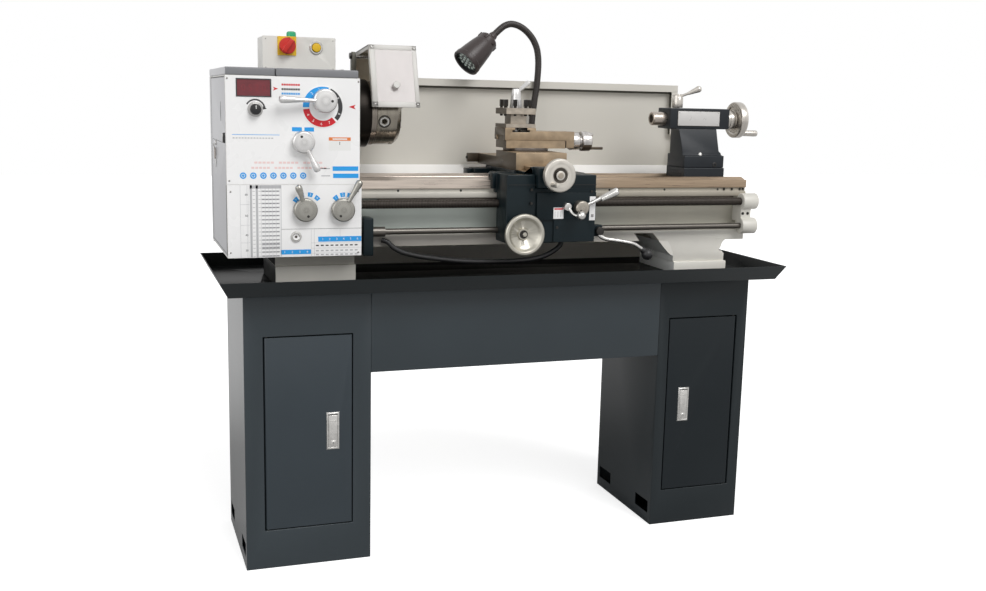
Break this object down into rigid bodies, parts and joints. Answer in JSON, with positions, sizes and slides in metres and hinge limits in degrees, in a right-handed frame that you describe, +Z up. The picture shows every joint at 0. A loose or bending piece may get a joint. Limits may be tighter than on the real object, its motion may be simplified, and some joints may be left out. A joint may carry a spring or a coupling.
{
  "type": "bench lathe",
  "caption": "Bench lathe on a two-cabinet stand with chip tray: geared headstock with chuck and guard, carriage with tool post and lamp, tailstock and splash guard.",
  "frame": {"origin": "on the floor at the centre of the four outer foundation bolts, below the bed's centre plane", "axes": "+X along the bed from headstock to tailstock, +Y from the operator to the splash guard, +Z up"},
  "size_m": [1.5848, 0.5635, 1.4194],
  "materials": {
    "stand_paint": "satin",
    "tray_paint": "gloss",
    "casting_white": "gloss",
    "lid_grey": "satin",
    "apron_paint": "gloss",
    "tailstock_paint": "gloss",
    "guard_paint": "satin",
    "motor_paint": "satin",
    "ground_steel": "ground",
    "turned_steel": "turned",
    "dark_steel": "blackened",
    "wheel_metal": "turned",
    "lever_chrome": "satin",
    "black_plastic": "matt",
    "red_plastic": "gloss",
    "yellow_plastic": "gloss",
    "belt_rubber": "matt"
  },
  "bodies": {
    "stand_and_bed": {"left_cabinet": "stand_paint", "right_cabinet": "stand_paint", "front_panel": "stand_paint", "chip_tray": "tray_paint", "bed": "casting_white", "rack": "turned_steel", "rod_brackets": "casting_white", "headstock": "casting_white", "headstock_lids": "lid_grey", "gear_guard": "casting_white", "gearbox": "casting_white", "electrical_box": "casting_white", "splash_guard": "guard_paint", "motor": "motor_paint", "spindle_bearings": "turned_steel", "fasteners": "dark_steel", "drive_belt": "belt_rubber", "conduit": "black_plastic"},
    "left_door": {"left_door": "stand_paint"},
    "left_latch": {"left_latch": "lever_chrome"},
    "right_door": {"right_door": "stand_paint"},
    "right_latch": {"right_latch": "lever_chrome"},
    "gear_cover": {"gear_cover": "casting_white"},
    "spindle": {"spindle": "dark_steel", "chuck": "turned_steel", "spindle_drive": "turned_steel"},
    "jaw_1": {"jaw_1": "turned_steel"},
    "jaw_2": {"jaw_2": "turned_steel"},
    "jaw_3": {"jaw_3": "turned_steel"},
    "motor_pulley": {"motor_pulley": "turned_steel"},
    "idler_gear": {"idler_gear": "turned_steel"},
    "feed_gear": {"feed_gear": "turned_steel"},
    "chuck_guard": {"chuck_guard": "casting_white"},
    "lead_screw": {"lead_screw": "turned_steel"},
    "feed_rod": {"feed_rod": "turned_steel"},
    "carriage": {"saddle": "apron_paint", "apron": "apron_paint", "lamp": "black_plastic"},
    "apron_handwheel": {"apron_handwheel": "wheel_metal"},
    "half_nut_lever": {"half_nut_lever": "lever_chrome"},
    "feed_lever": {"feed_lever": "lever_chrome"},
    "run_lever": {"run_lever": "lever_chrome"},
    "cross_slide": {"cross_slide": "ground_steel"},
    "cross_handwheel": {"cross_handwheel": "wheel_metal"},
    "swivel_base": {"swivel_base": "ground_steel"},
    "top_slide": {"top_slide": "ground_steel"},
    "top_handwheel": {"top_handwheel": "wheel_metal"},
    "tool_post": {"tool_post": "ground_steel"},
    "tool_post_lever": {"tool_post_lever": "lever_chrome"},
    "tailstock": {"tailstock": "tailstock_paint"},
    "quill": {"quill": "turned_steel"},
    "tailstock_handwheel": {"tailstock_handwheel": "wheel_metal"},
    "quill_lock": {"quill_lock": "lever_chrome"},
    "speed_lever": {"speed_lever": "lever_chrome"},
    "direction_lever": {"direction_lever": "lever_chrome"},
    "left_feed_lever": {"left_feed_lever": "lever_chrome"},
    "right_feed_lever": {"right_feed_lever": "lever_chrome"},
    "speed_knob": {"speed_knob": "black_plastic"},
    "main_switch": {"main_switch": "red_plastic"},
    "start_button": {"start_button": "yellow_plastic"}
  },
  "joints": [
    {"name": "left_door_hinge", "type": "hinge", "parent": "stand_and_bed", "child": "left_door", "pos_m": [-0.6525, -0.1755, 0.3525], "axis": [0, 0, -1], "range_deg": [0, 105]},
    {"name": "left_latch_pivot", "type": "hinge", "parent": "left_door", "child": "left_latch", "pos_m": [-0.4875, -0.1805, 0.391], "axis": [-1, 0, 0], "range_deg": [0, 35]},
    {"name": "right_door_hinge", "type": "hinge", "parent": "stand_and_bed", "child": "right_door", "pos_m": [0.668, -0.1755, 0.3525], "axis": [0, 0, 1], "range_deg": [0, 105]},
    {"name": "right_latch_pivot", "type": "hinge", "parent": "right_door", "child": "right_latch", "pos_m": [0.517, -0.1805, 0.391], "axis": [-1, 0, 0], "range_deg": [0, 35]},
    {"name": "gear_cover_hinge", "type": "hinge", "parent": "stand_and_bed", "child": "gear_cover", "pos_m": [-0.734, 0.205, 1], "axis": [0, 0, -1], "range_deg": [0, 90]},
    {"name": "spindle_spin", "type": "hinge", "parent": "stand_and_bed", "child": "spindle", "pos_m": [-0.415, 0, 1.1505], "axis": [1, 0, 0], "continuous": true},
    {"name": "jaw_1_slide", "type": "slide", "parent": "spindle", "child": "jaw_1", "axis": [0, -0.6947, 0.7193], "range_m": [-0.01, 0.012]},
    {"name": "jaw_2_slide", "type": "slide", "parent": "spindle", "child": "jaw_2", "axis": [0, -0.2756, -0.9613], "range_m": [-0.01, 0.012]},
    {"name": "jaw_3_slide", "type": "slide", "parent": "spindle", "child": "jaw_3", "axis": [0, 0.9703, 0.2419], "range_m": [-0.01, 0.012]},
    {"name": "motor_spin", "type": "hinge", "parent": "stand_and_bed", "child": "motor_pulley", "pos_m": [-0.62, 0.169, 0.8805], "axis": [1, 0, 0], "continuous": true},
    {"name": "idler_spin", "type": "hinge", "parent": "stand_and_bed", "child": "idler_gear", "pos_m": [-0.71, -0.03501, 1.03155], "axis": [1, 0, 0], "continuous": true},
    {"name": "feed_gear_spin", "type": "hinge", "parent": "stand_and_bed", "child": "feed_gear", "pos_m": [-0.71, -0.118, 0.94487], "axis": [1, 0, 0], "continuous": true},
    {"name": "chuck_guard_hinge", "type": "hinge", "parent": "stand_and_bed", "child": "chuck_guard", "pos_m": [-0.415, 0.085, 1.3005], "axis": [-1, 0, 0], "range_deg": [0, 95]},
    {"name": "lead_screw_spin", "type": "hinge", "parent": "stand_and_bed", "child": "lead_screw", "pos_m": [0, -0.125, 0.9235], "axis": [1, 0, 0], "continuous": true},
    {"name": "feed_rod_spin", "type": "hinge", "parent": "stand_and_bed", "child": "feed_rod", "pos_m": [0, -0.125, 0.8535], "axis": [1, 0, 0], "continuous": true},
    {"name": "carriage_travel", "type": "slide", "parent": "stand_and_bed", "child": "carriage", "axis": [1, 0, 0], "range_m": [-0.22, 0.19]},
    {"name": "apron_handwheel_spin", "type": "hinge", "parent": "carriage", "child": "apron_handwheel", "pos_m": [0.001, -0.208, 0.8525], "axis": [0, 1, 0], "range_deg": [-3966, 3426]},
    {"name": "half_nut_pivot", "type": "hinge", "parent": "carriage", "child": "half_nut_lever", "pos_m": [0.166, -0.2, 0.9185], "axis": [0, 1, 0], "range_deg": [0, 35]},
    {"name": "feed_lever_pivot", "type": "hinge", "parent": "carriage", "child": "feed_lever", "pos_m": [0.127, -0.2, 0.9215], "axis": [0, 1, 0], "range_deg": [-15, 25]},
    {"name": "run_lever_pivot", "type": "hinge", "parent": "carriage", "child": "run_lever", "pos_m": [0.228, -0.192, 0.8545], "axis": [0, 1, 0], "range_deg": [-15, 15]},
    {"name": "cross_slide_travel", "type": "slide", "parent": "carriage", "child": "cross_slide", "axis": [0, 1, 0], "range_m": [-0.104, 0.02]},
    {"name": "cross_handwheel_spin", "type": "hinge", "parent": "carriage", "child": "cross_handwheel", "pos_m": [0.087, -0.213, 1.0055], "axis": [0, 1, 0], "range_deg": [-9365, 1805]},
    {"name": "top_slide_swivel", "type": "hinge", "parent": "cross_slide", "child": "swivel_base", "pos_m": [0.085, -0.002, 1.0568], "axis": [0, 0, 1], "range_deg": [-45, 45]},
    {"name": "top_slide_travel", "type": "slide", "parent": "swivel_base", "child": "top_slide", "axis": [-1, 0, 0], "range_m": [-0.06, 0]},
    {"name": "top_handwheel_spin", "type": "hinge", "parent": "top_slide", "child": "top_handwheel", "pos_m": [0.2135, -0.002, 1.0838], "axis": [-1, 0, 0], "range_deg": [-7205, 5]},
    {"name": "tool_post_turn", "type": "hinge", "parent": "top_slide", "child": "tool_post", "pos_m": [0.055, 0.002, 1.13], "axis": [0, 0, 1], "continuous": true},
    {"name": "tool_post_clamp", "type": "hinge", "parent": "tool_post", "child": "tool_post_lever", "pos_m": [0.055, 0.002, 1.172], "axis": [0, 0, -1], "range_deg": [0, 60]},
    {"name": "tailstock_travel", "type": "slide", "parent": "stand_and_bed", "child": "tailstock", "axis": [1, 0, 0], "range_m": [-0.2, 0.06]},
    {"name": "quill_travel", "type": "slide", "parent": "tailstock", "child": "quill", "axis": [-1, 0, 0], "range_m": [-0.035, 0.065]},
    {"name": "tailstock_handwheel_spin", "type": "hinge", "parent": "tailstock", "child": "tailstock_handwheel", "pos_m": [0.7018, 0, 1.1505], "axis": [-1, 0, 0], "range_deg": [-2526, 4686]},
    {"name": "quill_lock_pivot", "type": "hinge", "parent": "tailstock", "child": "quill_lock", "pos_m": [0.55, 0, 1.182], "axis": [0, 0, 1], "range_deg": [-30, 40]},
    {"name": "speed_lever_pivot", "type": "hinge", "parent": "stand_and_bed", "child": "speed_lever", "pos_m": [-0.505, -0.165, 1.1805], "axis": [0, 1, 0], "range_deg": [-30, 30]},
    {"name": "direction_lever_pivot", "type": "hinge", "parent": "stand_and_bed", "child": "direction_lever", "pos_m": [-0.557, -0.165, 1.081], "axis": [0, 1, 0], "range_deg": [-40, 40]},
    {"name": "left_feed_lever_pivot", "type": "hinge", "parent": "stand_and_bed", "child": "left_feed_lever", "pos_m": [-0.553, -0.165, 0.9165], "axis": [0, 1, 0], "range_deg": [-40, 40]},
    {"name": "right_feed_lever_pivot", "type": "hinge", "parent": "stand_and_bed", "child": "right_feed_lever", "pos_m": [-0.46, -0.165, 0.9155], "axis": [0, 1, 0], "range_deg": [-40, 40]},
    {"name": "speed_knob_turn", "type": "hinge", "parent": "stand_and_bed", "child": "speed_knob", "pos_m": [-0.67, -0.165, 1.1575], "axis": [0, 1, 0], "range_deg": [-135, 135]},
    {"name": "main_switch_turn", "type": "hinge", "parent": "stand_and_bed", "child": "main_switch", "pos_m": [-0.558, 0.061, 1.3175], "axis": [0, 1, 0], "range_deg": [0, 90]},
    {"name": "start_button_press", "type": "slide", "parent": "stand_and_bed", "child": "start_button", "axis": [0, 1, 0], "range_m": [0, 0.004], "stiffness_N_per_m": 300}
  ],
  "couplings": [
    {"joint": "jaw_2_slide", "follows": "jaw_1_slide", "ratio": 1},
    {"joint": "jaw_3_slide", "follows": "jaw_1_slide", "ratio": 1},
    {"joint": "motor_spin", "follows": "spindle_spin", "ratio": 1.9286},
    {"joint": "idler_spin", "follows": "spindle_spin", "ratio": -0.47619},
    {"joint": "feed_gear_spin", "follows": "spindle_spin", "ratio": 1.1111},
    {"joint": "apron_handwheel_spin", "follows": "carriage_travel", "rad_per_m": 314.16},
    {"joint": "cross_handwheel_spin", "follows": "cross_slide_travel", "rad_per_m": 1570.8},
    {"joint": "top_handwheel_spin", "follows": "top_slide_travel", "rad_per_m": 2094.4},
    {"joint": "tailstock_handwheel_spin", "follows": "quill_travel", "rad_per_m": 1256.6}
  ]
}
